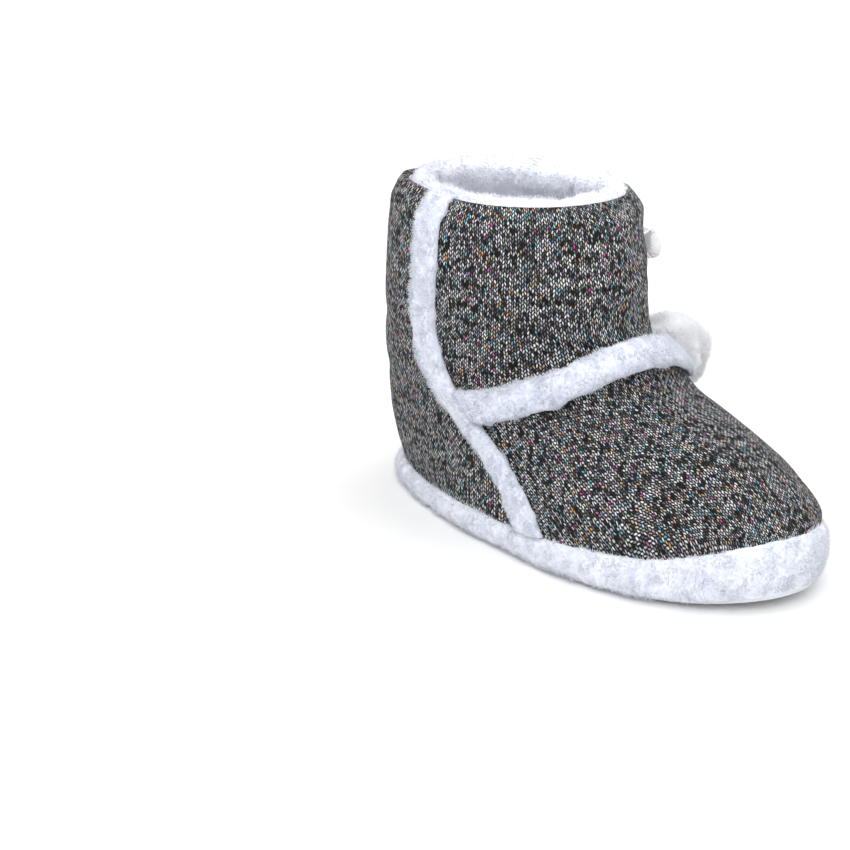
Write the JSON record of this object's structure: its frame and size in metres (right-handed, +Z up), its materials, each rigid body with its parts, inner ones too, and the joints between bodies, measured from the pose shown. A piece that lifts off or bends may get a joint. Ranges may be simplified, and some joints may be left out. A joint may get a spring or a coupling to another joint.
{
  "type": "bootie slipper",
  "caption": "Left ankle bootie slipper: hollow knit upper, white fleece lining, seam strips and platform, side pompom and ribbon bow, flat dotted sole.",
  "frame": {"origin": "on the floor plane, on the sole's flat border at the middle of the heel", "axes": "+X towards the toe, +Y towards the lateral (outer) side of this left boot, +Z up"},
  "size_m": [0.2723, 0.1592, 0.1608],
  "materials": {
    "outsole": "matte off-white moulded sheet sole with round dots and a finely ribbed border",
    "foxing_fleece": "long white sherpa fleece wrapped round a foam platform",
    "insole_fleece": "white fleece footbed",
    "knit": "thick marled knit of charcoal, grey and white yarn with small coloured flecks",
    "lining_fleece": "white sherpa lining rolled at the collar",
    "medial_band_fleece": "white sherpa strip",
    "lateral_band_fleece": "white sherpa strip",
    "instep_band_fleece": "white sherpa strip",
    "pompom_yarn": "fluffy white yarn",
    "sheer_ribbon": "sheer white ribbon"
  },
  "bodies": {
    "root": {"outsole": "outsole", "foxing": "foxing_fleece", "insole": "insole_fleece", "upper": "knit", "collar_lining": "lining_fleece", "side_band_medial": "medial_band_fleece", "side_band_lateral": "lateral_band_fleece", "instep_band": "instep_band_fleece", "pompom": "pompom_yarn", "bow": "sheer_ribbon"}
  },
  "joints": []
}
